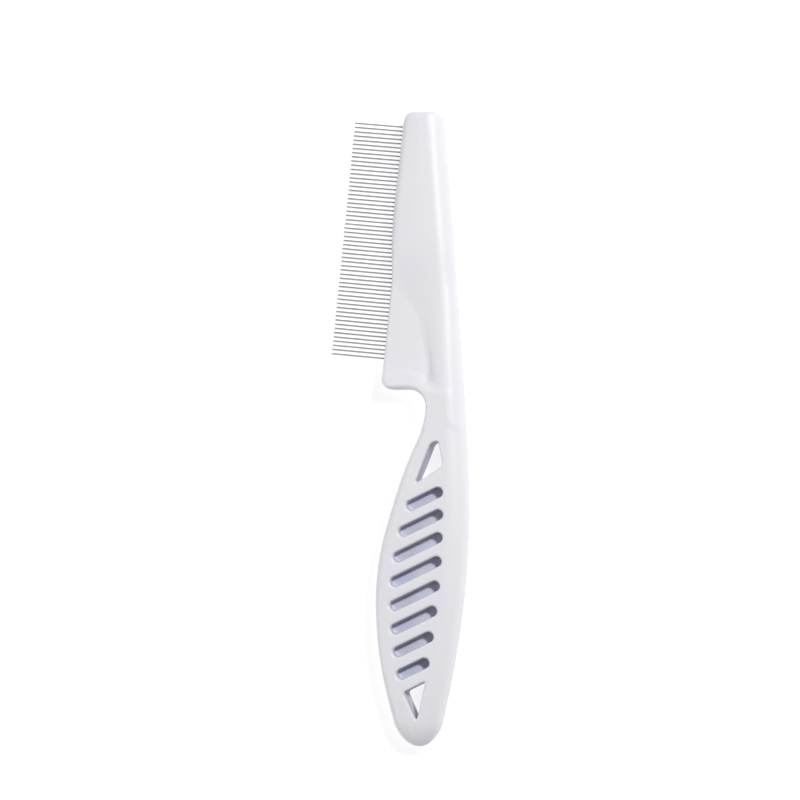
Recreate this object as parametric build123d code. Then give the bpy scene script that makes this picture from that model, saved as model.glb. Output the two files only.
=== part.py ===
"""Flea comb: one moulded handle with a row of round steel pins set in the edge of its head.

The comb lies flat. X runs from the pin tips to the spine, Y from the grip's end to the top of
the head, and Z up through the thickness. While it is built, X is measured from the outermost
line of the spine, Y from the narrowest point of the neck, and Z from the back of the grip. The
finished pieces are moved together so that the origin is under the centre of the comb's box.
"""

from build123d import *
import math
import os

# ---------------------------------------------------------------- driving dimensions, mm
GRIP_LENGTH = 94.6  # from the narrowest point of the neck to the end of the grip
HEAD_LENGTH = 85.4  # from the narrowest point of the neck to the top of the head
GRIP_WIDTH = 26.8  # from the spine's outermost line to the fullest point of the belly
NECK_WIDTH = 10.9
NECK_SPINE_INSET = 1.0  # from the spine's outermost line to the spine at the neck
TOP_SPINE_INSET = 7.4  # from the spine's outermost line to the spine at the head's top
END_WIDTH = 10.6  # of the grip's end, before it is rounded

GRIP_THICKNESS = 10.0
FACE_CROWN = 0.1  # how far the rounded section would bulge past the flat front and back together
TOP_THICKNESS = 5.4
END_THICKNESS = 6.4
PLATE_THICKNESS = 4.4  # of the head plate that holds the pins
PLATE_TOP_GAP = 1.0  # from the top of the head down to the plate's top
PLATE_OVERLAP = 7.0  # how far the plate runs on inside the spine
REST_THICKNESS = 7.0  # of the finger rest under the head plate

SPINE_ROUND = 5.0  # how far the spine's rounding reaches into the grip's face
BELLY_ROUND = 2.6
FLANK_ROUND = 4.4  # of the spine's flank where it drops to the head plate
TOP_SPINE_ROUND = 3.4
TOP_FLANK_ROUND = 3.0
END_ROUND = 3.8
END_FILLET = 2.6  # round the grip's end
TOP_FILLET = 1.3  # round the head's top end
END_REACH = 0.075  # share of the grip's length over which it thins towards its end
NECK_REACH = 0.2  # share of the head's length over which the grip's rounding changes

ROOT_LEAN = 5.84  # degrees between the row of pins and the comb's length
ROOT_INSET = 17.6  # from the spine's outermost line to the root of the top pin
REST_RADIUS = 6.5  # of the notch in which the first finger lies
REST_BITE = 0.9  # how far the notch's curve runs on into the neck
REST_WIDTH = 5.4
LOBE_RADIUS = 3.4
PLATE_FILLET = 0.9
REST_FILLET = 1.2

PIN_COUNT = 56
PIN_DIAMETER = 0.55
PIN_EXPOSED = 15.7
PIN_EMBEDDED = 5.0
PIN_SOCKET_CLEARANCE = 0.0  # radial: the handle is moulded round the pins
PIN_TIP_ROUND = 0.12
TOP_PIN_DROP = 4.1  # from the top of the head down to the root of the top pin
LAST_PIN_RISE = 15.42  # from the neck up to the root of the bottom pin

SLOT_COUNT = 8
SLOT_WIDTH = 2.9
SLOT_PITCH_SHARE = 0.0724  # of the grip's length
SLOT_LEAN = 25.6  # degrees up from the X axis
FIRST_SLOT_SHARE = 0.26  # of the grip's length, from the neck down to the top slot's middle
SLOT_BELLY_MARGIN = 4.8  # from the belly's edge to a slot's end
SLOT_SPINE_MARGIN = 6.9  # from the spine's edge to a slot's end
WEB_THICKNESS = 1.6  # left between a slot of the face and the one behind it

WINDOW_CORNER = 0.7  # corner radius of the two windows
RIM_FILLET = 0.45  # of the slots' and windows' edges

# A window's corners, as shares of the grip's width in from the spine and of its length down.
UPPER_WINDOW = ((0.388, 0.094), (0.304, 0.086), (0.252, 0.162), (0.556, 0.216))
LOWER_WINDOW = ((0.436, 0.803), (0.679, 0.838), (0.541, 0.924))

# Points of the outlines. The first of each pair is how far along the point is, as a share of the
# grip's length down from the neck or of the head's length up from it.
END_FLANK_SHARE = 0.735  # of the grip's width, at the left corner of the grip's end
GRIP_SPINE = ((0.796, 0.183), (0.592, 0.065), (0.27, 0.0))  # share of the grip's width
GRIP_BELLY = ((0.796, 0.922), (0.592, 1.0), (0.432, 0.959), (0.281, 0.817), (0.152, 0.657))
HEAD_SPINE = ((0.246, 0.22), (0.508, 0.47))  # share of the way from the neck to the top's inset
HEAD_WAIST = ((0.11, 0.88), (0.2, 0.904))  # width of the spine, as a share of the neck's
HEAD_FLANK = ((0.375, 7.7), (0.6, 2.1), (0.8, 1.1), (1.0, 0.6))  # in from the root line, in mm

# ---------------------------------------------------------------- values worked out from them
MID_Z = GRIP_THICKNESS / 2
PIN_RADIUS = PIN_DIAMETER / 2
LEAN = math.radians(ROOT_LEAN)
ROW_DIRECTION = Vector(-math.sin(LEAN), -math.cos(LEAN), 0)  # down the row of roots
PIN_DIRECTION = Vector(-math.cos(LEAN), math.sin(LEAN), 0)  # from a root out to its tip
NOTCH_X = -NECK_SPINE_INSET - NECK_WIDTH + REST_BITE - REST_RADIUS  # the notch's centre
TOP_ROOT = Vector(-ROOT_INSET, HEAD_LENGTH - TOP_PIN_DROP, MID_Z)
PIN_PITCH = (TOP_ROOT.Y - LAST_PIN_RISE) / math.cos(LEAN) / (PIN_COUNT - 1)

TOUCH = 0.001  # lengths closer than this count as equal

# Sections are taken at these shares of the grip's length, below the neck, and of the head's.
GRIP_SECTIONS = (1.0, 0.965, 0.92, 0.86, 0.78, 0.68, 0.58, 0.48, 0.38, 0.28, 0.19, 0.1)
HEAD_SECTIONS = (0.0, 0.06, 0.12, 0.19, 0.28, 0.38, 0.5, 0.62, 0.75, 0.88, 1.0)


def spine_edge():
    """The right-hand outline of the handle, from the grip's end to the head's top."""
    drift = TOP_SPINE_INSET - NECK_SPINE_INSET
    grip = [(-share * GRIP_WIDTH, -along * GRIP_LENGTH) for along, share in GRIP_SPINE]
    head = [
        (-NECK_SPINE_INSET - share * drift, along * HEAD_LENGTH) for along, share in HEAD_SPINE
    ]
    end = (END_WIDTH - END_FLANK_SHARE * GRIP_WIDTH, -GRIP_LENGTH)
    return Spline(end, *grip, (-NECK_SPINE_INSET, 0), *head, (-TOP_SPINE_INSET, HEAD_LENGTH))


def flank_edge(right_edge):
    """The left-hand outline of grip, neck and spine, from the grip's end to the head's top."""
    end = (-END_FLANK_SHARE * GRIP_WIDTH, -GRIP_LENGTH)
    grip = [(-share * GRIP_WIDTH, -along * GRIP_LENGTH) for along, share in GRIP_BELLY]
    neck = (-NECK_SPINE_INSET - NECK_WIDTH, 0)
    waist = [
        (across(right_edge, along * HEAD_LENGTH) - share * NECK_WIDTH, along * HEAD_LENGTH)
        for along, share in HEAD_WAIST
    ]
    head = [
        (root_point(along * HEAD_LENGTH).X + inset, along * HEAD_LENGTH)
        for along, inset in HEAD_FLANK
    ]
    return Spline(end, *grip, neck, *waist, *head)


def across(edge, y):
    """Where an outline that climbs steadily from its start stands at the height y."""
    low, high = 0.0, 1.0
    for _ in range(40):
        middle = (low + high) / 2
        if (edge @ middle).Y < y:
            low = middle
        else:
            high = middle
    return (edge @ low).X


def eased(first, last, share):
    """A value that goes from first to last with no sudden change, as share goes from 0 to 1."""
    share = min(max(share, 0.0), 1.0)
    return first + (last - first) * share * share * (3 - 2 * share)


def thickness_at(y):
    """The handle's thickness: even over the grip, less towards its end and up the head."""
    full = GRIP_THICKNESS + FACE_CROWN
    if y < 0:
        return eased(END_THICKNESS, full, (y + GRIP_LENGTH) / (END_REACH * GRIP_LENGTH))
    return eased(full, TOP_THICKNESS, y / HEAD_LENGTH)


def rounds_at(y):
    """How far the rounding reaches in from the left and from the right outline."""
    if y < 0:
        share = (y + GRIP_LENGTH) / (END_REACH * GRIP_LENGTH)
        return eased(END_ROUND, BELLY_ROUND, share), eased(END_ROUND, SPINE_ROUND, share)
    share = y / HEAD_LENGTH
    if share < NECK_REACH:
        share = share / NECK_REACH
        return eased(BELLY_ROUND, FLANK_ROUND, share), eased(SPINE_ROUND, FLANK_ROUND, share)
    share = (share - NECK_REACH) / (1 - NECK_REACH)
    return eased(FLANK_ROUND, TOP_FLANK_ROUND, share), eased(FLANK_ROUND, TOP_SPINE_ROUND, share)


def section(y, left, right):
    """One closed section of the handle: flat above and below, with a half ellipse each side."""
    half = thickness_at(y) / 2
    left_round, right_round = rounds_at(y)
    flat_left = left + left_round
    flat_right = right - right_round
    top = Line((flat_left, half), (flat_right, half))
    right_side = EllipticalCenterArc((flat_right, 0), right_round, half, 90, arc_size=-180)
    bottom = Line((flat_right, -half), (flat_left, -half))
    left_side = EllipticalCenterArc((flat_left, 0), left_round, half, 270, arc_size=-180)
    plane = Plane(origin=(0, y, MID_Z), x_dir=(1, 0, 0), z_dir=(0, -1, 0))
    return plane * make_face([top, right_side, bottom, left_side])


def grip_and_spine(left_edge, right_edge):
    """Grip, neck and spine as one smooth body, with a flat front and back and rounded ends."""
    heights = [-share * GRIP_LENGTH for share in GRIP_SECTIONS]
    heights += [share * HEAD_LENGTH for share in HEAD_SECTIONS]
    solid = loft([section(y, across(left_edge, y), across(right_edge, y)) for y in heights])
    grip_end = solid.faces().sort_by(Axis.Y)[0]
    solid = fillet(grip_end.edges(), END_FILLET)
    head_top = solid.faces().sort_by(Axis.Y)[-1]
    solid = fillet(head_top.edges(), TOP_FILLET)
    return solid & slab(Rectangle(4 * GRIP_WIDTH, 4 * GRIP_LENGTH), GRIP_THICKNESS)


def slab(outline, thickness):
    """A flat outline made into a plate of the given thickness about the middle of the comb."""
    return extrude(Pos(0, 0, MID_Z) * outline, thickness / 2, both=True)


def root_point(y):
    """The point of the root line at the height y."""
    return TOP_ROOT + ROW_DIRECTION * ((TOP_ROOT.Y - y) / math.cos(LEAN))


def notch_arc(radius):
    """A quarter circle about the notch's centre, from inside the neck up to the lobe."""
    centre = Vector(NOTCH_X, 0)
    side = centre + Vector(radius, 0)
    middle = centre + Vector(radius, 0).rotate(Axis.Z, 45)
    return ThreePointArc(side, middle, centre + Vector(0, radius))


def lower_edge(start):
    """The lobe and the finger notch, from a point on the root line round to the neck."""
    corner = root_point(REST_RADIUS)
    notch = notch_arc(REST_RADIUS)
    lobe = FilletPolyline((start.X, start.Y), (corner.X, corner.Y), notch @ 1, radius=LOBE_RADIUS)
    return [*lobe.edges(), notch]


def head_plate():
    """The thin plate that holds the pins, rounded along its edges and cut to the lobe's shape."""
    top = root_point(HEAD_LENGTH - PLATE_TOP_GAP)
    bottom = root_point(-REST_RADIUS)
    side = NOTCH_X + REST_RADIUS + PLATE_OVERLAP
    top_side = (top.X + PLATE_OVERLAP, top.Y)
    ends = Polyline((top.X, top.Y), (bottom.X, bottom.Y), (side, bottom.Y), top_side, close=True)
    blank = slab(make_face(ends), PLATE_THICKNESS)
    faces = blank.faces().sort_by(Axis.Z)
    blank = fillet(faces[0].edges() + faces[-1].edges(), PLATE_FILLET)
    notch_side = NOTCH_X + REST_RADIUS
    buried = Polyline((notch_side, 0), (side, 0), top_side, (top.X, top.Y))
    return blank & slab(make_face([*lower_edge(top), *buried.edges()]), GRIP_THICKNESS)


def finger_rest():
    """The thicker band along the plate's lower edge, against which the first finger rests."""
    start = root_point(REST_RADIUS + REST_WIDTH)
    inner = notch_arc(REST_RADIUS + REST_WIDTH)
    buried = Line((NOTCH_X + REST_RADIUS, 0), inner @ 0)
    outline = make_face([*lower_edge(start), buried, inner, Line(inner @ 1, (start.X, start.Y))])
    return slab(outline, REST_THICKNESS)


def rest_edges(solid):
    """The rest's edges along the lobe and the notch, above and below, up to the neck."""
    level = REST_THICKNESS / 2
    return [
        edge
        for edge in solid.edges()
        if abs(abs(edge.center().Z - MID_Z) - level) < TOUCH
        and edge.center().X < NOTCH_X + REST_RADIUS
        and edge.center().Y < REST_RADIUS + LOBE_RADIUS / 2
        and edge.length > PIN_DIAMETER
    ]


def slot_ends(index, left_edge, right_edge):
    """The two outer ends of a slot's centre line, a margin in from each side of the grip."""
    middle_y = -(FIRST_SLOT_SHARE + index * SLOT_PITCH_SHARE) * GRIP_LENGTH
    slope = math.tan(math.radians(SLOT_LEAN))
    rise = SLOT_WIDTH
    for _ in range(12):
        left = across(left_edge, middle_y - rise) + SLOT_BELLY_MARGIN
        right = across(right_edge, middle_y + rise) - SLOT_SPINE_MARGIN
        rise = slope * (right - left) / 2
    return Vector(left, middle_y - rise), Vector(right, middle_y + rise)


def slot_cutters(left_edge, right_edge):
    """Slots sunk in the front and the back, which leave a web between them."""
    depth = GRIP_THICKNESS / 2
    cutters = []
    for index in range(SLOT_COUNT):
        left, right = slot_ends(index, left_edge, right_edge)
        centre = (left + right) / 2
        shape = SlotOverall((right - left).length, SLOT_WIDTH)
        for side in (1, -1):
            start = MID_Z + side * WEB_THICKNESS / 2
            placed = Pos(centre.X, centre.Y, start) * Rot(0, 0, SLOT_LEAN) * shape
            cutters.append(extrude(placed, depth, dir=(0, 0, side)))
    return cutters


def window_cutters():
    """The slanting openings that go right through the grip, near its two ends."""
    cutters = []
    for corners in (UPPER_WINDOW, LOWER_WINDOW):
        places = [(-inset * GRIP_WIDTH, -drop * GRIP_LENGTH) for inset, drop in corners]
        shape = make_face(Polyline(*places, close=True))
        shape = fillet(shape.vertices(), WINDOW_CORNER)
        cutters.append(slab(shape, 2 * GRIP_THICKNESS))
    return cutters


def pin_axis(index):
    """The plane of a pin's root, facing out along the pin, with the top pin first."""
    root = TOP_ROOT + ROW_DIRECTION * (index * PIN_PITCH)
    return Plane(origin=root, x_dir=(0, 0, 1), z_dir=PIN_DIRECTION)


def rod(plane, radius, inside, outside):
    """A round rod along a plane's axis, from inside the root line to outside it."""
    return plane.offset(-inside) * Cylinder(
        radius, inside + outside, align=(Align.CENTER, Align.CENTER, Align.MIN)
    )


def pin(index):
    """One steel pin, with its free tip blunted."""
    solid = rod(pin_axis(index), PIN_RADIUS, PIN_EMBEDDED, PIN_EXPOSED)
    tip = solid.edges().sort_by(Axis(TOP_ROOT, PIN_DIRECTION))[-1]
    return fillet(tip, PIN_TIP_ROUND)


def handle():
    """The moulded handle: grip, spine, head plate and finger rest in one, with its openings."""
    right_edge = spine_edge()
    left_edge = flank_edge(right_edge)
    solid = grip_and_spine(left_edge, right_edge) + (head_plate() + finger_rest())
    solid = fillet(rest_edges(solid), REST_FILLET)
    cutters = slot_cutters(left_edge, right_edge) + window_cutters()
    opened = solid - cutters
    opened = fillet(new_edges(solid, *cutters, combined=opened), RIM_FILLET)
    sockets = [
        rod(pin_axis(index), PIN_RADIUS + PIN_SOCKET_CLEARANCE, PIN_EMBEDDED, PIN_EXPOSED)
        for index in range(PIN_COUNT)
    ]
    return opened - sockets


def comb():
    """Every piece by name, moved so that the origin is under the centre of the comb's box."""
    pieces = {"handle": handle()}
    for index in range(PIN_COUNT):
        pieces[f"pin_{index + 1:02d}"] = pin(index)
    boxes = [solid.bounding_box() for solid in pieces.values()]
    middle_x = (min(box.min.X for box in boxes) + max(box.max.X for box in boxes)) / 2
    middle_y = (min(box.min.Y for box in boxes) + max(box.max.Y for box in boxes)) / 2
    lowest = min(box.min.Z for box in boxes)
    move = Location((-middle_x, -middle_y, -lowest))
    return {name: solid.moved(move) for name, solid in pieces.items()}


if __name__ == "__main__":
    os.makedirs("parts", exist_ok=True)
    for node, solid in comb().items():
        export_step(solid, f"parts/{node}.step")
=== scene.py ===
"""The flea comb's looks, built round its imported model: the white moulding, the pins, the studio.

Lengths inside the moulding's shape are millimetres, measured as the moulding is: X from the
spine's outermost line, Y from the narrowest point of the neck, and Z from the middle of the
thickness. Everything that reaches Blender is in metres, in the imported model's own frame.
"""

import logging
import math
from dataclasses import dataclass, field
from enum import Enum
from typing import Callable, Sequence

import bpy
import numpy as np
from mathutils import Matrix, Vector


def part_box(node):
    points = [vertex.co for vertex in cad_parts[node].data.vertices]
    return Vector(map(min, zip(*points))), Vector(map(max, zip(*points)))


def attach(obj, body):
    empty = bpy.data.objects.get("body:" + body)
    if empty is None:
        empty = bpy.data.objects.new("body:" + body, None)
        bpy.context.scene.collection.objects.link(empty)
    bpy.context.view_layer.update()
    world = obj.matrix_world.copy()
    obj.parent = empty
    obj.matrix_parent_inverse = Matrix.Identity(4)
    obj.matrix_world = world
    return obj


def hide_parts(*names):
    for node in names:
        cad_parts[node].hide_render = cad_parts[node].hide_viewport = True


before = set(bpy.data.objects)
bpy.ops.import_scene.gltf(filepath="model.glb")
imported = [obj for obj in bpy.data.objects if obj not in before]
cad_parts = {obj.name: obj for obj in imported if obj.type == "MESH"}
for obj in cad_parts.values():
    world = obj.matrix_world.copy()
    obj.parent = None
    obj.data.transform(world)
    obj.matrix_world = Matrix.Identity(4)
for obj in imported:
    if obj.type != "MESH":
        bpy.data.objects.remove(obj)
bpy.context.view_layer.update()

Array = np.ndarray
MM = 0.001
ROOT_BODY = "root"
FAR_OFF = 1e3
TINY = 1e-9
log = logging.getLogger("flea_comb")


class Slot(Enum):
    """The record's material slots."""

    PLASTIC = "handle_plastic"
    STEEL = "pin_steel"


class End(Enum):
    """The corners of the two windows, by the end of the grip that each is near."""

    UPPER = ((-10.4, -8.9), (-8.15, -8.15), (-6.75, -15.3), (-14.9, -20.4))
    LOWER = ((-11.7, -76.0), (-18.2, -79.3), (-14.5, -87.4))


# ------------------------------------------------------------------ shape arithmetic, in mm


def eased(share: Array) -> Array:
    """A rise from 0 to 1 with no sudden change of slope.

    Args:
        share: how far along the rise each point is; outside 0 to 1 it is held.

    Returns:
        The height of the rise at each point.
    """
    share = np.clip(share, 0.0, 1.0)
    return share * share * (3.0 - 2.0 * share)


def meet(first: Array, second: Array, radius: float | Array) -> Array:
    """The overlap of two bodies, with a rounded edge where their surfaces cross.

    Args:
        first: distance to one surface, negative inside it.
        second: distance to the other surface.
        radius: radius of the rounded edge.

    Returns:
        Distance to the surface of the overlap.
    """
    corner = np.hypot(np.maximum(first + radius, 0.0), np.maximum(second + radius, 0.0))
    return np.minimum(-radius, np.maximum(first, second)) + corner


def join(first: Array, second: Array, radius: float | Array) -> Array:
    """The union of two bodies, with a hollow fillet where their surfaces cross.

    Args:
        first: distance to one surface, negative inside it.
        second: distance to the other surface.
        radius: radius of the fillet.

    Returns:
        Distance to the surface of the union.
    """
    corner = np.hypot(np.maximum(radius - first, 0.0), np.maximum(radius - second, 0.0))
    return np.maximum(radius, np.minimum(first, second)) - corner


class Curve:
    """A smooth curve through a few points, as one coordinate against another."""

    def __init__(self, points: Sequence[tuple[float, float]]) -> None:
        """Fit the curve.

        Args:
            points: (along, value) pairs in rising order of the first.
        """
        self.along = np.array([p[0] for p in points], float)
        self.value = np.array([p[1] for p in points], float)
        self.bend = self._bends()

    def _bends(self) -> Array:
        """The second derivative at each point, nil at both ends.

        Returns:
            One value for each point.
        """
        gap = np.diff(self.along)
        rise = np.diff(self.value) / gap
        count = len(self.along)
        matrix = np.eye(count)
        right = np.zeros(count)
        for i in range(1, count - 1):
            matrix[i, i - 1 : i + 2] = gap[i - 1], 2 * (gap[i - 1] + gap[i]), gap[i]
            right[i] = 6 * (rise[i] - rise[i - 1])
        return np.linalg.solve(matrix, right)

    def __call__(self, at: Array) -> Array:
        """The curve's value.

        Args:
            at: where along the curve; past the ends the end value is held.

        Returns:
            The value at each place.
        """
        at = np.clip(at, self.along[0], self.along[-1])
        i = np.clip(np.searchsorted(self.along, at, side="right") - 1, 0, len(self.along) - 2)
        gap = self.along[i + 1] - self.along[i]
        a = (self.along[i + 1] - at) / gap
        b = 1.0 - a
        curved = (a**3 - a) * self.bend[i] + (b**3 - b) * self.bend[i + 1]
        return a * self.value[i] + b * self.value[i + 1] + curved * gap * gap / 6.0


@dataclass
class HandleShape:
    """The moulding as a distance field: negative inside the plastic, nil on its surface."""

    grip_length: float = 94.6
    head_length: float = 85.4
    grip_width: float = 26.8
    neck_width: float = 10.9
    top_width: float = 9.4
    end_width: float = 10.6
    end_flank_share: float = 0.735
    grip_thickness: float = 10.0
    end_round: float = 7.2
    top_round: float = 1.7
    plate_half: float = 2.2
    plate_top_gap: float = 0.8
    plate_edge_round: float = 0.9
    lobe_radius: float = 3.6
    notch_radius: float = 6.5
    notch_x: float = -17.5
    rim_width: float = 5.6
    rim_rise: float = 2.1
    rim_round: float = 1.5
    rim_flat: float = 0.9
    rim_neck_gain: float = 0.5
    edge_fade: float = 6.0
    edge_fade_start: float = 0.2
    plate_into_spine: float = 4.0
    plate_into_neck: float = 3.0
    top_thicker: float = 0.25
    thicker_from: float = 0.4
    thicker_over: float = 0.5
    root_lean: float = 5.84
    root_inset: float = 17.6
    top_pin_drop: float = 4.1
    slot_count: int = 8
    slot_width: float = 2.9
    slot_pitch: float = 6.85
    slot_lean: float = 25.6
    first_slot_drop: float = 24.6
    slot_belly_margin: float = 4.8
    slot_spine_margin: float = 6.9
    web_thickness: float = 1.6
    slot_rim: float = 0.7
    slot_foot: float = 0.4
    window_corner: float = 0.8
    window_rim: float = 0.55
    # painted shade in the slots and windows: the depth where it starts, the depth over which it
    # grows, and its reach and blend round the outlines
    recess_shade_start: float = 0.3
    recess_shade_reach: float = 2.2
    recess_shade_border: float = 0.7
    recess_shade_blend: float = 0.5
    crease_least: float = 0.8
    crease_up: tuple[float, float, float] = (4.0, 24.0, 26.0)
    crease_down: tuple[float, float, float] = (3.0, 12.0, 8.0)
    settling_rounds: int = 12
    margin: float = 0.02

    def __post_init__(self) -> None:
        """Fit the outlines and the laws along the handle's length."""
        grip, head, belly = self.grip_length, self.head_length, -self.grip_width
        end = self.end_flank_share * belly
        self.spine = Curve([
            (-grip, end + self.end_width), (-0.796 * grip, -4.9), (-0.592 * grip, -1.75),
            (-0.27 * grip, 0.0), (0.0, -1.0), (0.246 * head, -2.4), (0.508 * head, -4.0),
            (head, -7.4),
        ])
        self.flank = Curve([
            (-grip, end), (-0.796 * grip, 0.922 * belly), (-0.592 * grip, belly),
            (-0.432 * grip, 0.959 * belly), (-0.281 * grip, 0.817 * belly),
            (-0.152 * grip, 0.657 * belly), (0.0, -1.0 - self.neck_width),
            (0.11 * head, -11.4), (0.2 * head, -12.4), (0.375 * head, -15.3),
            (0.6 * head, -18.6), (0.8 * head, -18.0), (head, -7.4 - self.top_width),
        ])
        full = self.grip_thickness
        self.thickness = Curve([
            (-grip, 7.2), (-0.93 * grip, 8.6), (-0.82 * grip, 0.985 * full),
            (-0.7 * grip, full), (-0.3 * grip, full), (-0.04 * grip, 0.995 * full),
            (0.12 * head, 9.4), (0.35 * head, 7.7), (0.6 * head, 6.0), (0.8 * head, 5.4),
            (head, 5.2),
        ])
        self.flank_reach = Curve([
            (-grip, 5.2), (-0.8 * grip, 2.9), (-0.3 * grip, 2.6), (0.0, 3.0),
            (0.1 * head, 4.6), (0.22 * head, 6.0), (0.5 * head, 8.6), (0.75 * head, 6.0),
            (head, 2.6),
        ])
        self.spine_reach = Curve([
            (-grip, 5.2), (-0.8 * grip, 5.6), (-0.3 * grip, 6.6), (0.0, 5.8),
            (0.22 * head, 5.0), (0.6 * head, 4.6), (head, 3.0),
        ])

    def body(self, x: Array, y: Array, w: Array) -> Array:
        """Grip, neck and spine: a rounded section that changes along the length.

        Args:
            x: across the comb, from the spine's outermost line.
            y: along the comb, from the narrowest point of the neck.
            w: how far from the middle of the thickness.

        Returns:
            Distance to the surface, negative inside.
        """
        half = self.thickness(y) / 2
        left = np.maximum(1 + (self.flank(y) - x) / self.flank_reach(y), 0)
        right = np.maximum(1 + (x - self.spine(y)) / self.spine_reach(y), 0)
        bottom = np.maximum(1 - (y + self.grip_length) / self.end_round, 0)
        top = np.maximum(1 + (y - self.head_length) / self.top_round, 0)
        sides = left**2 + right**2 + bottom**2 + top**2
        return (np.sqrt(sides + (w / half) ** 2) - 1) * half

    def head_plate(self, x: Array, y: Array, w: Array) -> Array:
        """The thin plate that holds the pins, dished up to a rim along the lobe and notch.

        Args:
            x: across the comb, from the spine's outermost line.
            y: along the comb, from the narrowest point of the neck.
            w: how far from the middle of the thickness.

        Returns:
            Distance to the surface, negative inside.
        """
        lean = math.radians(self.root_lean)
        root_y = self.head_length - self.top_pin_drop
        root = (y - root_y) * math.sin(lean) - (x + self.root_inset) * math.cos(lean)
        past = np.maximum(x - self.notch_x, 0.0)
        low = self.notch_radius - np.hypot(past, np.maximum(y, 0.0))
        outline = meet(root, low, self.lobe_radius)
        outline = meet(outline, y - self.head_length + self.plate_top_gap, self.top_round)
        outline = np.maximum(outline, x - self.spine(y) + self.plate_into_spine)
        outline = np.maximum(outline, -self.plate_into_neck - y)
        toward_neck = eased(past / self.notch_radius)
        fall = eased((-low - self.rim_flat) / (self.rim_width - self.rim_flat))
        rim = self.rim_rise * (1 + self.rim_neck_gain * toward_neck) * (1 - fall)
        rise = eased((y / self.head_length - self.thicker_from) / self.thicker_over)
        thicker = self.top_thicker * rise
        half = self.plate_half + thicker + rim
        near = 1 - eased(-low / self.edge_fade - self.edge_fade_start)
        edge = self.plate_edge_round + (self.rim_round - self.plate_edge_round) * near
        return meet(outline, w - half, edge)

    def slot_ends(self, index: int) -> tuple[tuple[float, float], tuple[float, float]]:
        """Where a slot's centre line starts and stops, a margin in from the grip's sides.

        Args:
            index: the slot's number, from the neck down.

        Returns:
            The centre line's left and right ends.
        """
        middle = -self.first_slot_drop - index * self.slot_pitch
        slope = math.tan(math.radians(self.slot_lean))
        rise = self.slot_width
        left = right = 0.0
        for _ in range(self.settling_rounds):
            left = float(self.flank(np.array(middle - rise))) + self.slot_belly_margin
            right = float(self.spine(np.array(middle + rise))) - self.slot_spine_margin
            rise = slope * (right - left) / 2
        return (left, middle - rise), (right, middle + rise)

    def slot_outline(self, x: Array, y: Array) -> Array:
        """How far outside the nearest slot's outline each point is, seen from above.

        Args:
            x: across the comb, from the spine's outermost line.
            y: along the comb, from the narrowest point of the neck.

        Returns:
            Distance to the nearest outline, negative inside it.
        """
        lean = math.radians(self.slot_lean)
        nearest = np.full(np.broadcast(x, y).shape, FAR_OFF)
        for index in range(self.slot_count):
            (left, low), (right, high) = self.slot_ends(index)
            off_x, off_y = x - (left + right) / 2, y - (low + high) / 2
            along = off_x * math.cos(lean) + off_y * math.sin(lean)
            across = off_y * math.cos(lean) - off_x * math.sin(lean)
            half = math.hypot(right - left, high - low) / 2 - self.slot_width / 2
            reach = np.hypot(np.maximum(np.abs(along) - half, 0.0), across) - self.slot_width / 2
            nearest = np.minimum(nearest, reach)
        return nearest

    def slots(self, x: Array, y: Array, w: Array) -> Array:
        """The slots of one face, down to the web that parts them from the other face's.

        Args:
            x: across the comb, from the spine's outermost line.
            y: along the comb, from the narrowest point of the neck.
            w: how far from the middle of the thickness.

        Returns:
            Distance to the nearest slot's walls, negative in the slot.
        """
        return meet(self.slot_outline(x, y), self.web_thickness / 2 - w, self.slot_foot)

    def painted_recess_shade(self, x: Array, y: Array, z: Array) -> Array:
        """How far down in a slot or a window each surface point is, as the mask of painted shade laid
        there.

        Args:
            x: across the comb, from the spine's outermost line.
            y: along the comb, from the narrowest point of the neck.
            z: up from the middle of the thickness.

        Returns:
            From 0 on the faces to 1 well down.
        """
        outline = self.slot_outline(x, y)
        for end in End:
            outline = np.minimum(outline, self.window(x, y, end))
        # painted shade: the deeper a point lies inside a slot or window, the darker and bluer its
        # colour is painted
        depth = self.grip_thickness / 2 - np.abs(z)
        down = eased((depth - self.recess_shade_start) / self.recess_shade_reach)
        return down * eased((self.recess_shade_border - outline) / self.recess_shade_blend)

    def window(self, x: Array, y: Array, end: End) -> Array:
        """One window, which goes right through the grip.

        Args:
            x: across the comb, from the spine's outermost line.
            y: along the comb, from the narrowest point of the neck.
            end: which window.

        Returns:
            Distance to its outline, negative inside it.
        """
        corners = end.value
        centre = np.mean(np.array(corners), axis=0)
        inside = None
        for start, stop in zip(corners, corners[1:] + corners[:1]):
            run = np.array(stop) - np.array(start)
            normal = np.array([run[1], -run[0]]) / np.hypot(*run)
            if float(normal @ (centre - np.array(start))) > 0:
                normal = -normal
            side = (x - start[0]) * normal[0] + (y - start[1]) * normal[1]
            inside = side if inside is None else meet(inside, side, self.window_corner)
        return inside

    def distance(self, x: Array, y: Array, z: Array) -> Array:
        """How far each point is from the moulding's surface.

        Args:
            x: across the comb, from the spine's outermost line.
            y: along the comb, from the narrowest point of the neck.
            z: up from the middle of the thickness.

        Returns:
            The distance, negative inside the plastic.
        """
        w = np.abs(z)
        up_gain, up_start, up_reach = self.crease_up
        down_gain, down_start, down_reach = self.crease_down
        crease = self.crease_least + up_gain * eased((y - up_start) / up_reach)
        crease = crease + down_gain * eased((down_start - y) / down_reach)
        plastic = join(self.body(x, y, w), self.head_plate(x, y, w), crease)
        plastic = meet(plastic, -self.slots(x, y, w), self.slot_rim)
        for end in End:
            plastic = meet(plastic, -self.window(x, y, end), self.window_rim)
        plastic = np.maximum(plastic, w - self.grip_thickness / 2 + self.margin)
        return np.maximum(plastic, y - self.head_length + self.margin)


# ------------------------------------------------------------------ from a field to a mesh


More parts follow.
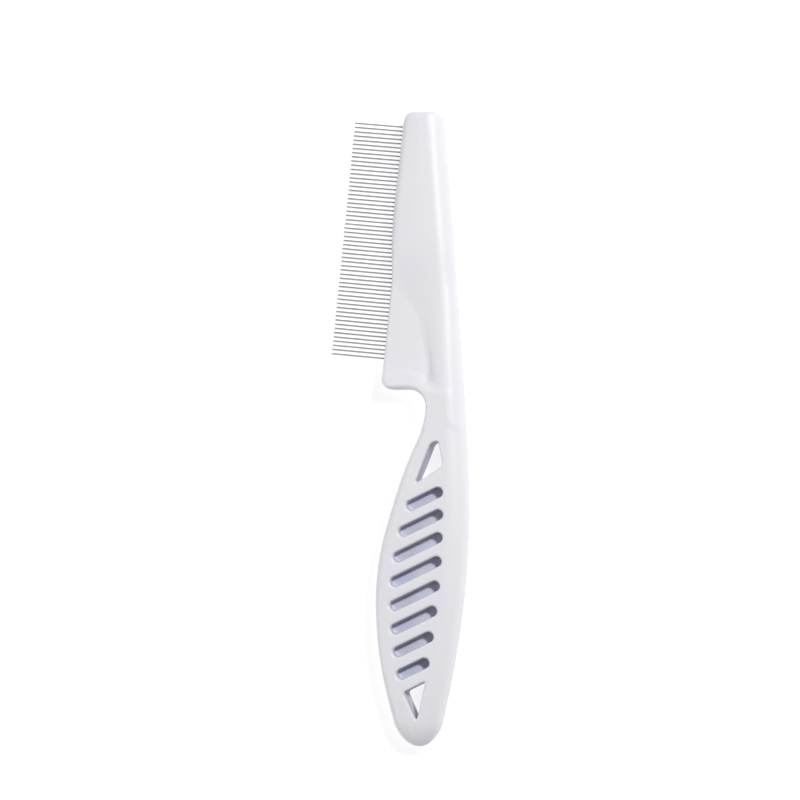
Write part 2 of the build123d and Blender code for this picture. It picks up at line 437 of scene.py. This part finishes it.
@dataclass
class Skin:
    """A closed mesh laid on the nil surface of a distance field, one vertex to a cell."""

    low: tuple[float, float, float]
    high: tuple[float, float, float]
    step: float
    distance: Callable[[Array, Array, Array], Array]
    settle_rounds: int = 3
    least_slope: float = 0.05
    longest_move: float = 0.3

    def build(self) -> tuple[Array, Array]:
        """Lay the mesh.

        Returns:
            The vertices and the four-cornered faces, which point outwards.
        """
        axes = [np.arange(a, b + self.step, self.step) for a, b in zip(self.low, self.high)]
        across, along, up = axes
        grid = self.distance(across[:, None, None], along[None, :, None], up[None, None, :])
        points, index = self._vertices(grid)
        faces = self._faces(grid < 0, index)
        return self._settle(points * self.step + np.array(self.low)), faces

    @staticmethod
    def _vertices(grid: Array) -> tuple[Array, Array]:
        """One point in each cell that the surface crosses.

        Args:
            grid: the field at the grid's corners.

        Returns:
            The points, in cells, and each cell's point number, or -1.
        """
        inside = grid < 0
        corners = np.zeros(tuple(n - 1 for n in grid.shape), np.int8)
        for a in (0, 1):
            for b in (0, 1):
                for c in (0, 1):
                    nx, ny, nz = grid.shape
                    corners += inside[a : nx - 1 + a, b : ny - 1 + b, c : nz - 1 + c]
        cells = np.argwhere((corners > 0) & (corners < 8))
        index = np.full(corners.shape, -1, np.int64)
        index[tuple(cells.T)] = np.arange(len(cells))
        total = np.zeros((len(cells), 3))
        count = np.zeros(len(cells))
        for axis in range(3):
            others = [i for i in range(3) if i != axis]
            along = np.eye(3, dtype=int)[axis]
            for a in (0, 1):
                for b in (0, 1):
                    unit = np.eye(3, dtype=int)
                    start = cells + a * unit[others[0]] + b * unit[others[1]]
                    near = grid[tuple(start.T)]
                    far = grid[tuple((start + along).T)]
                    crossed = (near < 0) != (far < 0)
                    share = near[crossed] / (near[crossed] - far[crossed])
                    total[crossed] += start[crossed] + share[:, None] * along
                    count[crossed] += 1
        return total / count[:, None], index

    @staticmethod
    def _faces(inside: Array, index: Array) -> Array:
        """A face across each grid edge that the surface crosses.

        Args:
            inside: which of the grid's corners are in the plastic.
            index: each cell's point number.

        Returns:
            Four point numbers to a face.
        """
        faces = []
        unit = np.eye(3, dtype=int)
        for axis in range(3):
            u, v = unit[(axis + 1) % 3], unit[(axis + 2) % 3]
            near = inside.take(range(inside.shape[axis] - 1), axis)
            far = inside.take(range(1, inside.shape[axis]), axis)
            edges = np.argwhere(near != far)
            leaves = near[tuple(edges.T)]
            ring = [index[tuple((edges - shift).T)] for shift in (0 * u, u, u + v, v)]
            quads = np.stack(ring, axis=1)
            quads[~leaves] = quads[~leaves][:, ::-1]
            faces.append(quads)
        return np.concatenate(faces)

    def slope(self, points: Array, reach: float = 0.02) -> Array:
        """The field's gradient at each point.

        Args:
            points: where to take it.
            reach: how far to look each way.

        Returns:
            One vector for each point.
        """
        columns = []
        for axis in range(3):
            offset = np.zeros(3)
            offset[axis] = reach
            ahead = self.distance(*(points + offset).T)
            behind = self.distance(*(points - offset).T)
            columns.append((ahead - behind) / (2 * reach))
        return np.stack(columns, axis=1)

    def _settle(self, points: Array) -> Array:
        """Move each point onto the surface, by less than a cell.

        Args:
            points: the points as first laid.

        Returns:
            The points on the surface.
        """
        for _ in range(self.settle_rounds):
            slope = self.slope(points)
            square = np.maximum((slope**2).sum(axis=1), self.least_slope)
            move = (self.distance(*points.T) / square)[:, None] * slope
            length = np.maximum(np.linalg.norm(move, axis=1, keepdims=True), TINY)
            points = points - move * np.minimum(1.0, self.longest_move * self.step / length)
        return points


def mesh_object(name: str, points: Array, faces: Array) -> bpy.types.Object:
    """A smooth-shaded mesh object in the scene.

    Args:
        name: the object's name.
        points: vertices in metres.
        faces: four vertex numbers to a face.

    Returns:
        The object, at the origin, with its place in its mesh.
    """
    mesh = bpy.data.meshes.new(name)
    mesh.vertices.add(len(points))
    mesh.vertices.foreach_set("co", np.ascontiguousarray(points, np.float32).ravel())
    mesh.loops.add(faces.size)
    mesh.loops.foreach_set("vertex_index", faces.astype(np.int32).ravel())
    mesh.polygons.add(len(faces))
    mesh.polygons.foreach_set("loop_start", np.arange(0, faces.size, faces.shape[1], dtype=np.int32))
    mesh.update(calc_edges=True)
    mesh.validate()
    mesh.shade_smooth()
    piece = bpy.data.objects.new(name, mesh)
    bpy.context.scene.collection.objects.link(piece)
    return piece


# ------------------------------------------------------------------ the pieces


@dataclass
class Handle:
    """The white moulding, with its plastic."""

    shape: HandleShape = field(default_factory=HandleShape)
    step: float = 0.4
    quick_step: float = 0.8
    border: float = 2.0
    edge_reach: float = 0.35
    edge_gain: float = 4.0

    def offset(self) -> Vector:
        """Where the shape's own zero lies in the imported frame.

        Returns:
            The place, in metres.
        """
        low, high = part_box("handle")
        return Vector((high.x, low.y + self.shape.grip_length * MM, (low.z + high.z) / 2))

    def build(self, material: bpy.types.Material) -> bpy.types.Object:
        """Make the moulding and dress it.

        Args:
            material: the plastic.

        Returns:
            The piece, which stands for the CAD handle.
        """
        shape = self.shape
        border = self.border
        half = shape.grip_thickness / 2 + border
        skin = Skin(
            low=(-shape.grip_width - border, -shape.grip_length - border, -half),
            high=(border, shape.head_length + border, half),
            step=self.step,
            distance=shape.distance,
        )
        points, faces = skin.build()
        normals = skin.slope(points)
        normals /= np.maximum(np.linalg.norm(normals, axis=1, keepdims=True), TINY)
        edge = self.edge_mask(skin, points, normals)
        piece = mesh_object("handle_moulding", points * MM + np.array(self.offset()), faces)
        mesh = piece.data
        mesh.normals_split_custom_set_from_vertices(normals.tolist())
        # the second mask carries the painted shade of the slots and windows
        for name, values in (("edge", edge), ("painted_recess_shade", shape.painted_recess_shade(*points.T))):
            mask = mesh.attributes.new(name, "FLOAT", "POINT")
            mask.data.foreach_set("value", values.astype(np.float32))
        mesh.materials.append(material)
        log.info("handle_moulding: %d faces", len(mesh.polygons))
        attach(piece, ROOT_BODY)
        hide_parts("handle")
        return piece

    def edge_mask(self, skin: Skin, points: Array, normals: Array) -> Array:
        """How sharply the surface bends outwards at each point.

        Args:
            skin: the skin that the points lie on.
            points: the skin's points.
            normals: the way out at each point.

        Returns:
            From 0 on the flat to 1 on a sharp edge.
        """
        reach = self.edge_reach
        ahead = skin.distance(*(points - normals * reach).T) + reach
        return np.clip(ahead / reach * self.edge_gain, 0.0, 1.0)


class NodeTree:
    """A short way to add nodes to a tree and to join them."""

    def __init__(self, tree: bpy.types.NodeTree) -> None:
        """Hold the tree.

        Args:
            tree: the tree to add to.
        """
        self.tree = tree

    def add(self, kind: str, links: dict | None = None, **settings: object) -> bpy.types.Node:
        """Add a node.

        Args:
            kind: the node's type.
            links: input name or number to an output socket or a constant.
            settings: the node's own properties.

        Returns:
            The node.
        """
        node = self.tree.nodes.new(kind)
        for name, value in settings.items():
            setattr(node, name, value)
        for name, value in (links or {}).items():
            socket = node.inputs[name]
            if isinstance(value, bpy.types.NodeSocket):
                self.tree.links.new(value, socket)
            else:
                socket.default_value = value
        return node


@dataclass
class PinRow:
    """The row of steel pins, from the top of the head down."""

    count: int = 56
    radius: float = 0.275 * MM
    free_length: float = 15.7 * MM
    embedded: float = 5.0 * MM
    sides: int = 14
    tip_rings: int = 4
    tip_flat: float = 0.02
    weld: float = 0.004 * MM
    scatter: float = 0.0022
    seed: int = 7

    def axis(self) -> tuple[Vector, Vector, Vector]:
        """Where the row lies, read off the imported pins.

        Returns:
            The top pin's inner end, the step from pin to pin, and the way the pins point.
        """
        first_low, first_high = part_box("pin_01")
        last_low, last_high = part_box(f"pin_{self.count:02d}")
        step = (last_low - first_low) / (self.count - 1)
        point = Vector((step.y, -step.x, 0)).normalized()
        if point.x > 0:
            point = -point
        middle = (first_low + first_high) / 2
        return middle - point * (self.free_length + self.embedded) / 2, step, point

    def tree(self) -> bpy.types.GeometryNodeTree:
        """The node tree that sets one blunt rod on each point of the root line.

        Returns:
            The tree.
        """
        tree = bpy.data.node_groups.new("pin_row", "GeometryNodeTree")
        face = tree.interface
        face.new_socket("Geometry", in_out="INPUT", socket_type="NodeSocketGeometry")
        for name, kind in (
            ("Count", "NodeSocketInt"), ("Inner End", "NodeSocketVector"),
            ("Step", "NodeSocketVector"), ("Direction", "NodeSocketVector"),
            ("Radius", "NodeSocketFloat"), ("Length", "NodeSocketFloat"),
            ("Scatter", "NodeSocketFloat"), ("Seed", "NodeSocketInt"),
            ("Material", "NodeSocketMaterial"),
        ):
            face.new_socket(name, in_out="INPUT", socket_type=kind)
        face.new_socket("Geometry", in_out="OUTPUT", socket_type="NodeSocketGeometry")
        nodes = NodeTree(tree)
        given = nodes.add("NodeGroupInput").outputs
        rod = self.rod(nodes, given)
        row = nodes.add("GeometryNodeMeshLine", {
            "Count": given["Count"], "Start Location": given["Inner End"], "Offset": given["Step"],
        }, mode="OFFSET")
        least = nodes.add("ShaderNodeMath", {0: given["Scatter"], 1: -1.0}, operation="MULTIPLY")
        spread = nodes.add("FunctionNodeRandomValue", {
            "Min": least.outputs[0], "Max": given["Scatter"], "Seed": given["Seed"],
        }, data_type="FLOAT_VECTOR")
        aligned = nodes.add("FunctionNodeAlignRotationToVector", {
            "Vector": given["Direction"],
        }, axis="Z")
        jitter = nodes.add("FunctionNodeEulerToRotation", {0: spread.outputs[0]})
        turned = nodes.add("FunctionNodeRotateRotation", {
            "Rotation": aligned.outputs[0], "Rotate By": jitter.outputs[0],
        }, rotation_space="LOCAL")
        placed = nodes.add("GeometryNodeInstanceOnPoints", {
            "Points": row.outputs[0], "Instance": rod, "Rotation": turned.outputs[0],
        })
        real = nodes.add("GeometryNodeRealizeInstances", {0: placed.outputs[0]})
        dressed = nodes.add("GeometryNodeSetMaterial", {
            "Geometry": real.outputs[0], "Material": given["Material"],
        })
        nodes.add("NodeGroupOutput", {0: dressed.outputs[0]})
        return tree

    def rod(self, nodes: NodeTree, given: bpy.types.bpy_prop_collection) -> bpy.types.NodeSocket:
        """One rod that stands on its inner end, with a rounded free tip.

        Args:
            nodes: the tree to build in.
            given: the tree's inputs.

        Returns:
            The rod's geometry.
        """
        parts = []
        ring_angle = math.pi / 2 / self.tip_rings
        shaft_length = nodes.add("ShaderNodeMath", {
            0: given["Length"], 1: given["Radius"],
        }, operation="SUBTRACT")
        shaft = nodes.add("GeometryNodeMeshCylinder", {
            "Vertices": self.sides, "Side Segments": 1, "Radius": given["Radius"],
            "Depth": shaft_length.outputs[0],
        }, fill_type="NONE")
        half = nodes.add("ShaderNodeMath", {
            0: shaft_length.outputs[0], 1: 0.5,
        }, operation="MULTIPLY")
        lift = nodes.add("ShaderNodeCombineXYZ", {"Z": half.outputs[0]})
        parts.append(nodes.add("GeometryNodeTransform", {
            "Geometry": shaft.outputs[0], "Translation": lift.outputs[0],
        }))
        for ring in range(self.tip_rings):
            low, high = ring * ring_angle, (ring + 1) * ring_angle
            wide, narrow, tall = (
                nodes.add("ShaderNodeMath", {0: given["Radius"], 1: share}, operation="MULTIPLY")
                for share in (
                    math.cos(low), max(math.cos(high), self.tip_flat), math.sin(high) - math.sin(low),
                )
            )
            cone = nodes.add("GeometryNodeMeshCone", {
                "Vertices": self.sides, "Side Segments": 1, "Radius Top": narrow.outputs[0],
                "Radius Bottom": wide.outputs[0], "Depth": tall.outputs[0],
            }, fill_type="NONE")
            rise = nodes.add("ShaderNodeMath", {
                0: given["Radius"], 1: math.sin(low), 2: shaft_length.outputs[0],
            }, operation="MULTIPLY_ADD")
            up = nodes.add("ShaderNodeCombineXYZ", {"Z": rise.outputs[0]})
            parts.append(nodes.add("GeometryNodeTransform", {
                "Geometry": cone.outputs[0], "Translation": up.outputs[0],
            }))
        whole = nodes.add("GeometryNodeJoinGeometry")
        for part in parts:
            nodes.tree.links.new(part.outputs[0], whole.inputs[0])
        merged = nodes.add("GeometryNodeMergeByDistance", {
            "Geometry": whole.outputs[0], "Distance": self.weld,
        })
        smooth = nodes.add("GeometryNodeSetShadeSmooth", {0: merged.outputs[0]})
        return smooth.outputs[0]

    def build(self, material: bpy.types.Material) -> bpy.types.Object:
        """Make the row as one plain mesh.

        Args:
            material: the steel.

        Returns:
            The piece, which stands for every CAD pin.
        """
        inner, step, point = self.axis()
        carrier = bpy.data.objects.new("comb_pins", bpy.data.meshes.new("comb_pins_seed"))
        bpy.context.scene.collection.objects.link(carrier)
        modifier = carrier.modifiers.new("pins", "NODES")
        modifier.node_group = self.tree()
        values = {
            "Count": self.count, "Inner End": inner, "Step": step, "Direction": point,
            "Radius": self.radius, "Length": self.free_length + self.embedded,
            "Scatter": self.scatter, "Seed": self.seed, "Material": material,
        }
        for item in modifier.node_group.interface.items_tree:
            if item.in_out == "INPUT" and item.name in values:
                modifier[item.identifier] = values[item.name]
        bpy.context.view_layer.update()
        graph = bpy.context.evaluated_depsgraph_get()
        mesh = bpy.data.meshes.new_from_object(carrier.evaluated_get(graph), depsgraph=graph)
        carrier.modifiers.clear()
        carrier.data = mesh
        log.info("comb_pins: %d pins, %d faces", self.count, len(mesh.polygons))
        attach(carrier, ROOT_BODY)
        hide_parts(*[f"pin_{i + 1:02d}" for i in range(self.count)])
        return carrier


# ------------------------------------------------------------------ finishes


def grain_group() -> bpy.types.ShaderNodeTree:
    """The fine grain that moulding and drawing leave: a height and a tone, from one place.

    Returns:
        The group.
    """
    tree = bpy.data.node_groups.new("fine_grain", "ShaderNodeTree")
    for name, kind in (
        ("Place", "NodeSocketVector"), ("Grain", "NodeSocketFloat"), ("Cloud", "NodeSocketFloat"),
    ):
        tree.interface.new_socket(name, in_out="INPUT", socket_type=kind)
    for name in ("Height", "Tone"):
        tree.interface.new_socket(name, in_out="OUTPUT", socket_type="NodeSocketFloat")
    nodes = NodeTree(tree)
    given = nodes.add("NodeGroupInput").outputs
    fine = nodes.add("ShaderNodeTexNoise", {
        "Vector": given["Place"], "Scale": given["Grain"], "Detail": 3.0, "Roughness": 0.6,
    })
    cloud = nodes.add("ShaderNodeTexNoise", {
        "Vector": given["Place"], "Scale": given["Cloud"], "Detail": 4.0, "Roughness": 0.55,
    })
    nodes.add("NodeGroupOutput", {"Height": fine.outputs[0], "Tone": cloud.outputs[0]})
    return tree


def marks_group() -> bpy.types.ShaderNodeTree:
    """Hairline marks from handling: a mask of thin strokes that run one way.

    Returns:
        The group.
    """
    tree = bpy.data.node_groups.new("hairline_marks", "ShaderNodeTree")
    for name, kind in (("Place", "NodeSocketVector"), ("Density", "NodeSocketFloat")):
        tree.interface.new_socket(name, in_out="INPUT", socket_type=kind)
    tree.interface.new_socket("Mask", in_out="OUTPUT", socket_type="NodeSocketFloat")
    nodes = NodeTree(tree)
    given = nodes.add("NodeGroupInput").outputs
    strokes = nodes.add("ShaderNodeTexNoise", {
        "Vector": given["Place"], "Scale": given["Density"], "Detail": 2.0, "Roughness": 0.7,
    })
    mask = nodes.add("ShaderNodeMapRange", {
        "Value": strokes.outputs[0], "From Min": 0.62, "From Max": 0.72, "To Min": 0.0, "To Max": 1.0,
    })
    nodes.add("NodeGroupOutput", {"Mask": mask.outputs[0]})
    return tree


@dataclass(frozen=True)
class PlasticFinish:
    """Satin white moulded plastic, faintly cool, polished a little along its edges, with painted
    shade darkening the slots and windows.
    """

    light: tuple[float, float, float] = (0.735, 0.73, 0.755)
    deep: tuple[float, float, float] = (0.70, 0.695, 0.725)
    # painted shade: the darker, bluer colour laid down in the slots and windows in place of their
    # shade
    recess_shade_colour: tuple[float, float, float] = (0.50, 0.505, 0.60)
    roughness: float = 0.46
    grain: float = 2600.0
    cloud: float = 45.0
    bump: float = 0.012 * MM
    bump_strength: float = 0.6
    cloud_rough: float = 0.12
    scuff_turn: float = 0.5
    scuff_scale: tuple[float, float, float] = (8.0, 1.0, 4.0)
    scuff_density: float = 60.0
    scuff_rough: float = 0.08
    edge_polish: float = 0.08
    refraction: float = 1.49
    under_share: float = 0.12
    under_radius: tuple[float, float, float] = (1.0, 0.95, 0.9)
    under_depth: float = 0.8 * MM

    def material(
        self, grain: bpy.types.ShaderNodeTree, marks: bpy.types.ShaderNodeTree
    ) -> bpy.types.Material:
        """Build the material.

        Args:
            grain: the fine grain group.
            marks: the hairline marks group.

        Returns:
            The material.
        """
        material, nodes, shader = new_material("white_moulding")
        place = nodes.add("ShaderNodeTexCoord").outputs["Object"]
        edge = nodes.add("ShaderNodeAttribute", attribute_name="edge").outputs["Fac"]
        fine = nodes.add("ShaderNodeGroup", node_tree=grain)
        nodes.tree.links.new(place, fine.inputs["Place"])
        fine.inputs["Grain"].default_value = self.grain
        fine.inputs["Cloud"].default_value = self.cloud
        turned = nodes.add("ShaderNodeMapping", {
            "Vector": place, "Rotation": (0.0, 0.0, self.scuff_turn), "Scale": self.scuff_scale,
        })
        scuffs = nodes.add("ShaderNodeGroup", node_tree=marks)
        nodes.tree.links.new(turned.outputs[0], scuffs.inputs["Place"])
        scuffs.inputs["Density"].default_value = self.scuff_density
        colour = nodes.add("ShaderNodeMix", {
            "Factor": fine.outputs["Tone"], 6: (*self.deep, 1.0), 7: (*self.light, 1.0),
        }, data_type="RGBA")
        # painted shade: the recess mask darkens and blues the colour down in the slots and windows
        painted_recess_shade = nodes.add("ShaderNodeAttribute", attribute_name="painted_recess_shade").outputs["Fac"]
        shaded = nodes.add("ShaderNodeMix", {
            "Factor": painted_recess_shade, 6: colour.outputs[2], 7: (*self.recess_shade_colour, 1.0),
        }, data_type="RGBA")
        nodes.tree.links.new(shaded.outputs[2], shader.inputs["Base Color"])
        cloudy = nodes.add("ShaderNodeMath", {
            0: fine.outputs["Tone"], 1: self.cloud_rough, 2: self.roughness - self.cloud_rough / 2,
        }, operation="MULTIPLY_ADD")
        scuffed = nodes.add("ShaderNodeMath", {
            0: scuffs.outputs["Mask"], 1: self.scuff_rough, 2: cloudy.outputs[0],
        }, operation="MULTIPLY_ADD")
        polished = nodes.add("ShaderNodeMath", {
            0: edge, 1: -self.edge_polish, 2: scuffed.outputs[0],
        }, operation="MULTIPLY_ADD")
        nodes.tree.links.new(polished.outputs[0], shader.inputs["Roughness"])
        bump = nodes.add("ShaderNodeBump", {
            "Height": fine.outputs["Height"], "Distance": self.bump, "Strength": self.bump_strength,
        })
        nodes.tree.links.new(bump.outputs[0], shader.inputs["Normal"])
        shader.inputs["IOR"].default_value = self.refraction
        shader.inputs["Subsurface Weight"].default_value = self.under_share
        shader.inputs["Subsurface Radius"].default_value = self.under_radius
        shader.inputs["Subsurface Scale"].default_value = self.under_depth
        return material


@dataclass(frozen=True)
class SteelFinish:
    """Drawn stainless wire: bright, with faint streaks along it and a tone of its own each."""

    bright: tuple[float, float, float] = (0.90, 0.90, 0.90)
    dull: tuple[float, float, float] = (0.74, 0.74, 0.75)
    roughness: float = 0.42
    grain: float = 5200.0
    cloud: float = 700.0
    bump: float = 0.004 * MM
    bump_strength: float = 0.5
    draw_turn: float = 0.102
    draw_scale: tuple[float, float, float] = (0.06, 1.0, 1.0)
    streak_density: float = 2600.0
    streak_rough: float = 0.12

    def material(
        self, grain: bpy.types.ShaderNodeTree, marks: bpy.types.ShaderNodeTree
    ) -> bpy.types.Material:
        """Build the material.

        Args:
            grain: the fine grain group.
            marks: the hairline marks group.

        Returns:
            The material.
        """
        material, nodes, shader = new_material("drawn_steel")
        place = nodes.add("ShaderNodeTexCoord").outputs["Object"]
        drawn = nodes.add("ShaderNodeMapping", {
            "Vector": place, "Rotation": (0.0, 0.0, self.draw_turn), "Scale": self.draw_scale,
        })
        fine = nodes.add("ShaderNodeGroup", node_tree=grain)
        nodes.tree.links.new(drawn.outputs[0], fine.inputs["Place"])
        fine.inputs["Grain"].default_value = self.grain
        fine.inputs["Cloud"].default_value = self.cloud
        streaks = nodes.add("ShaderNodeGroup", node_tree=marks)
        nodes.tree.links.new(drawn.outputs[0], streaks.inputs["Place"])
        streaks.inputs["Density"].default_value = self.streak_density
        colour = nodes.add("ShaderNodeMix", {
            "Factor": fine.outputs["Tone"], 6: (*self.dull, 1.0), 7: (*self.bright, 1.0),
        }, data_type="RGBA")
        nodes.tree.links.new(colour.outputs[2], shader.inputs["Base Color"])
        rough = nodes.add("ShaderNodeMath", {
            0: streaks.outputs["Mask"], 1: self.streak_rough, 2: self.roughness,
        }, operation="MULTIPLY_ADD")
        nodes.tree.links.new(rough.outputs[0], shader.inputs["Roughness"])
        bump = nodes.add("ShaderNodeBump", {
            "Height": fine.outputs["Height"], "Distance": self.bump, "Strength": self.bump_strength,
        })
        nodes.tree.links.new(bump.outputs[0], shader.inputs["Normal"])
        shader.inputs["Metallic"].default_value = 1.0
        return material


def new_material(name: str) -> tuple[bpy.types.Material, NodeTree, bpy.types.Node]:
    """An empty node material.

    Args:
        name: the material's name.

    Returns:
        The material, its tree, and its Principled shader.
    """
    material = bpy.data.materials.new(name)
    material.use_nodes = True
    nodes = NodeTree(material.node_tree)
    shader = next(n for n in material.node_tree.nodes if n.type == "BSDF_PRINCIPLED")
    return material, nodes, shader


# ------------------------------------------------------------------ the studio


@dataclass
class Studio:
    """A white light table, a key from the upper right, soft fill, and the camera."""

    side_angle: float = 11.0
    low_angle: float = 2.0
    distance: float = 1.0
    frame_height: float = 0.2272
    aim: tuple[float, float] = (0.0004, 0.0081)
    key_way: tuple[float, float, float] = (0.64, 0.50, 1.0)
    key_power: float = 11.8
    key_size: float = 0.12
    key_reach: float = 1.1
    fill_way: tuple[float, float, float] = (-1.3, -0.45, 0.6)
    fill_power: float = 8.0
    fill_size: float = 0.6
    fill_reach: float = 1.3
    sky: float = 0.14
    table_glow: float = 0.78
    table_colour: float = 0.40
    table_half: float = 3.0
    sky_colour: tuple[float, float, float] = (0.88, 0.91, 1.0)
    sensor_width: float = 36.0
    aim_height: float = 0.7

    def build(self) -> None:
        """Set out the table, the lights and the camera."""
        self.table()
        self.lights()
        self.camera()
        scene = bpy.context.scene
        scene.view_settings.view_transform = "Standard"
        scene.view_settings.look = "None"
        log.info("studio: table, lights and camera")

    def table(self) -> bpy.types.Object:
        """The pale table that the comb lies on, lit a little from below.

        Returns:
            The table.
        """
        material, nodes, shader = new_material("light_table")
        place = nodes.add("ShaderNodeTexCoord").outputs["Object"]
        cloud = nodes.add("ShaderNodeTexNoise", {"Vector": place, "Scale": 30.0, "Detail": 3.0})
        rough = nodes.add("ShaderNodeMath", {
            0: cloud.outputs[0], 1: 0.1, 2: 0.6,
        }, operation="MULTIPLY_ADD")
        nodes.tree.links.new(rough.outputs[0], shader.inputs["Roughness"])
        shader.inputs["Base Color"].default_value = (self.table_colour,) * 3 + (1.0,)
        shader.inputs["Specular IOR Level"].default_value = 0.1
        shader.inputs["Emission Color"].default_value = (1.0, 1.0, 1.0, 1.0)
        shader.inputs["Emission Strength"].default_value = self.table_glow
        half = self.table_half
        corners = np.array([(-1, -1, 0), (1, -1, 0), (1, 1, 0), (-1, 1, 0)], float) * half
        table = mesh_object("table", corners, np.array([[0, 1, 2, 3]]))
        table.data.materials.append(material)
        return table

    def area(self, name: str, way: Vector, reach: float, size: float, power: float) -> None:
        """One square lamp that faces the comb.

        Args:
            name: the lamp's name.
            way: the direction from the comb to the lamp.
            reach: how far off it stands.
            size: the side of the square.
            power: its power in watts.
        """
        lamp = bpy.data.lights.new(name, "AREA")
        lamp.shape = "SQUARE"
        lamp.size = size
        lamp.energy = power
        stand = bpy.data.objects.new(name, lamp)
        stand.location = way.normalized() * reach
        stand.rotation_euler = way.to_track_quat("Z", "Y").to_euler()
        bpy.context.scene.collection.objects.link(stand)

    def lights(self) -> None:
        """A fairly small key for crisp shadows in the slots, and a broad soft fill."""
        world = bpy.data.worlds.new("studio")
        world.use_nodes = True
        sky = world.node_tree.nodes["Background"]
        sky.inputs["Color"].default_value = (*self.sky_colour, 1.0)
        sky.inputs["Strength"].default_value = self.sky
        bpy.context.scene.world = world
        self.area("key", Vector(self.key_way), self.key_reach, self.key_size, self.key_power)
        self.area("fill", Vector(self.fill_way), self.fill_reach, self.fill_size, self.fill_power)

    def camera(self) -> None:
        """A long lens above the comb, a little to its right and a little below its middle."""
        side, low = math.radians(self.side_angle), math.radians(self.low_angle)
        flat = math.cos(low)
        back = Vector((math.sin(side) * flat, -math.sin(low), math.cos(side) * flat))
        right = Vector((0, 1, 0)).cross(back).normalized()
        up = back.cross(right)
        _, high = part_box("handle")
        target = Vector((*self.aim, self.aim_height * high.z))
        data = bpy.data.cameras.new("camera")
        data.sensor_width = self.sensor_width
        data.lens = data.sensor_width * self.distance / self.frame_height
        camera = bpy.data.objects.new("camera", data)
        turn = Matrix((right, up, back)).transposed().to_4x4()
        camera.matrix_world = Matrix.Translation(target + back * self.distance) @ turn
        bpy.context.scene.collection.objects.link(camera)
        bpy.context.scene.camera = camera


def main() -> None:
    """Build the studio and the pieces."""
    logging.basicConfig(level=logging.INFO, format="%(name)s %(message)s")
    Studio().build()
    grain, marks = grain_group(), marks_group()
    Handle().build(PlasticFinish().material(grain, marks))
    PinRow().build(SteelFinish().material(grain, marks))


if __name__ == "__main__":
    main()
